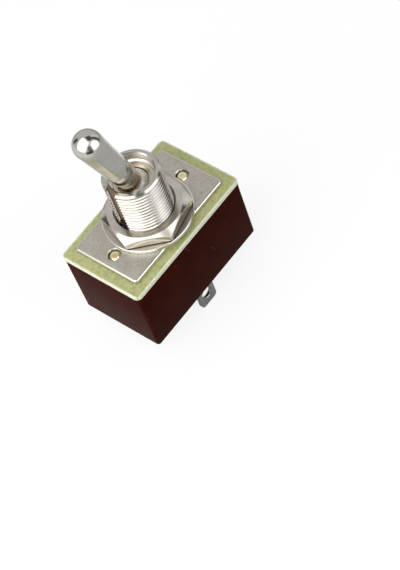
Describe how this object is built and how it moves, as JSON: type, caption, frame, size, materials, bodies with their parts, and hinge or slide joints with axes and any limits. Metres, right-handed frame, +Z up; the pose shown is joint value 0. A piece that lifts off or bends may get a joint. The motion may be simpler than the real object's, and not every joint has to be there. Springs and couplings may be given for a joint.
{
  "type": "toggle switch",
  "caption": "Panel toggle switch with a bat-shaped lever, threaded bushing, dark moulded case and solder lugs.",
  "frame": {"origin": "centre of the case's underside", "axes": "+X along the case towards the load lugs, +Y across the case, +Z up along the threaded bushing; at rest the lever leans towards -X"},
  "size_m": [0.0324, 0.02, 0.0583],
  "materials": {
    "phenolic": "moulded, slightly glossy, fine pale specks",
    "glass_board": "glass-fibre sheet, satin",
    "bracket_steel": "zinc plated, matt",
    "nickel": "bright nickel plate",
    "bushing_nickel": "bright nickel plate over threads",
    "washer_steel": "nickel plated",
    "spring_steel": "bright drawn",
    "screw_brass": "yellow passivated",
    "ring_brass": "turned",
    "tinned_brass": "tin plated, satin",
    "rocker_bronze": "rolled sheet",
    "contact_silver": "silver, lightly worn",
    "block_nylon": "moulded"
  },
  "bodies": {
    "housing": {"case": "phenolic", "insulating_plate": "glass_board", "bracket_plate": "bracket_steel", "case_screw_on_side": "screw_brass", "case_screw_off_side": "screw_brass", "bushing": "bushing_nickel", "retaining_ring": "ring_brass", "key_washer": "washer_steel", "lock_washer": "spring_steel", "hex_nut": "nickel", "terminal_common_left": "tinned_brass", "terminal_load_left": "tinned_brass", "fixed_contact_left": "contact_silver", "terminal_common_right": "tinned_brass", "terminal_load_right": "tinned_brass", "fixed_contact_right": "contact_silver"},
    "lever": {"lever": "nickel", "trunnion_pin": "spring_steel", "actuator_block": "block_nylon", "block_pin": "spring_steel", "plunger_spring_left": "spring_steel", "plunger_spring_right": "spring_steel"},
    "plunger_left": {"plunger_left": "ring_brass"},
    "rocker_left": {"rocker_left": "rocker_bronze", "moving_contact_left": "contact_silver"},
    "plunger_right": {"plunger_right": "ring_brass"},
    "rocker_right": {"rocker_right": "rocker_bronze", "moving_contact_right": "contact_silver"}
  },
  "joints": [
    {"name": "lever_pivot", "type": "hinge", "parent": "housing", "child": "lever", "pos_m": [0, 0, 0.02865], "axis": [0, 1, 0], "range_deg": [0, 33]},
    {"name": "rocker_left_pivot", "type": "hinge", "parent": "housing", "child": "rocker_left", "pos_m": [0, 0.0063, 0.0056], "axis": [0, 1, 0], "range_deg": [-12, 0]},
    {"name": "rocker_right_pivot", "type": "hinge", "parent": "housing", "child": "rocker_right", "pos_m": [0, -0.0063, 0.0056], "axis": [0, 1, 0], "range_deg": [-12, 0]},
    {"name": "plunger_left_slide", "type": "slide", "parent": "lever", "child": "plunger_left", "axis": [-0.284, 0, 0.9588], "range_m": [0, 0.0012], "stiffness_N_per_m": 60, "springref_m": -0.001, "deforming": ["plunger_spring_left"]},
    {"name": "plunger_right_slide", "type": "slide", "parent": "lever", "child": "plunger_right", "axis": [-0.284, 0, 0.9588], "range_m": [0, 0.0012], "stiffness_N_per_m": 60, "springref_m": -0.001, "deforming": ["plunger_spring_right"]}
  ],
  "couplings": [
    {"joint": "rocker_left_pivot", "follows": "lever_pivot", "ratio": -0.3636},
    {"joint": "rocker_right_pivot", "follows": "lever_pivot", "ratio": -0.3636}
  ]
}
